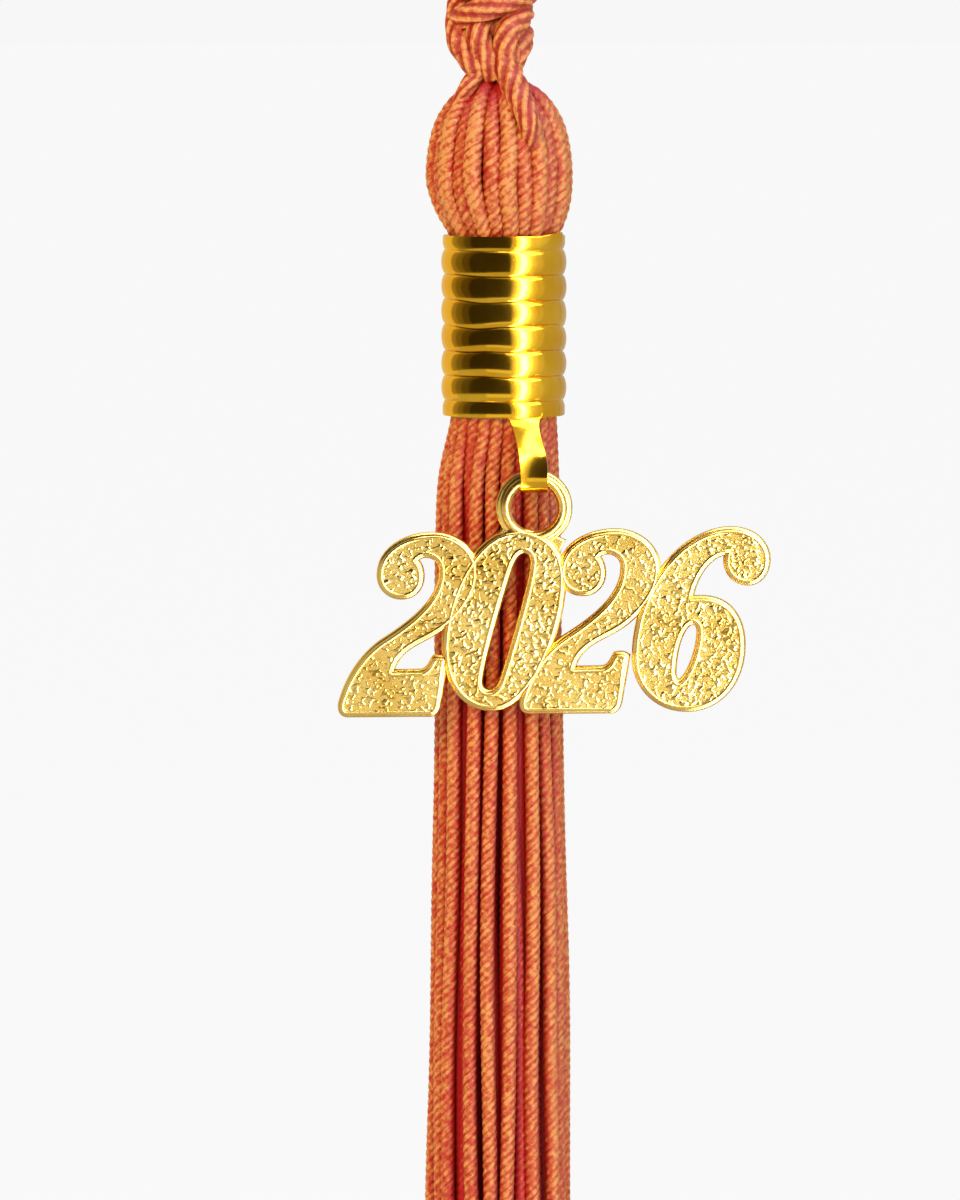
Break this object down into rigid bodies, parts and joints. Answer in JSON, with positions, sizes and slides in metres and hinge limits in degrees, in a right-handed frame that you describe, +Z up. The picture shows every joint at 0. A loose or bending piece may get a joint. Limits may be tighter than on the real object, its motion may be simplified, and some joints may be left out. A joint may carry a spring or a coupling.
{
  "type": "graduation tassel",
  "caption": "Graduation tassel: twisted threads gathered in a round head and a ribbed metal barrel, with a cast year charm on its hook and a hanging loop of cord.",
  "frame": {"origin": "inside of the hanging loop's top, where the cap's button holds it", "axes": "+Z up along the hanging tassel, the charm's front faces -Y, +X to the right seen from the front"},
  "size_m": [0.0351, 0.0141, 0.2886],
  "materials": {
    "cord": "satin twisted cord",
    "thread": "satin twisted thread",
    "barrel_metal": "polished",
    "charm_metal": "polished rims and a hammered field"
  },
  "bodies": {
    "tassel": {"hanger_loop": "cord", "hanger_knot": "cord", "neck_cord_left": "cord", "neck_cord_right": "cord", "hanger_tail": "cord", "thread_fold": "thread", "binding_thread": "thread", "thread_01": "thread", "thread_02": "thread", "thread_03": "thread", "thread_04": "thread", "thread_05": "thread", "thread_06": "thread", "thread_07": "thread", "thread_08": "thread", "thread_09": "thread", "thread_10": "thread", "thread_11": "thread", "thread_12": "thread", "thread_13": "thread", "thread_14": "thread", "thread_15": "thread", "thread_16": "thread", "thread_17": "thread", "thread_18": "thread", "thread_19": "thread", "thread_20": "thread", "thread_21": "thread", "thread_22": "thread", "thread_23": "thread", "thread_24": "thread", "thread_25": "thread", "thread_26": "thread", "thread_27": "thread", "thread_28": "thread", "thread_29": "thread", "thread_30": "thread"},
    "barrel": {"barrel": "barrel_metal"},
    "charm": {"year_charm": "charm_metal"}
  },
  "joints": [
    {"name": "barrel_turn", "type": "hinge", "parent": "tassel", "child": "barrel", "pos_m": [0, 0, -0.11685], "axis": [0, 0, 1], "continuous": true},
    {"name": "charm_swing", "type": "hinge", "parent": "barrel", "child": "charm", "pos_m": [0.00244, -0.0064, -0.12885], "axis": [-1, 0, 0], "range_deg": [0, 120]}
  ]
}
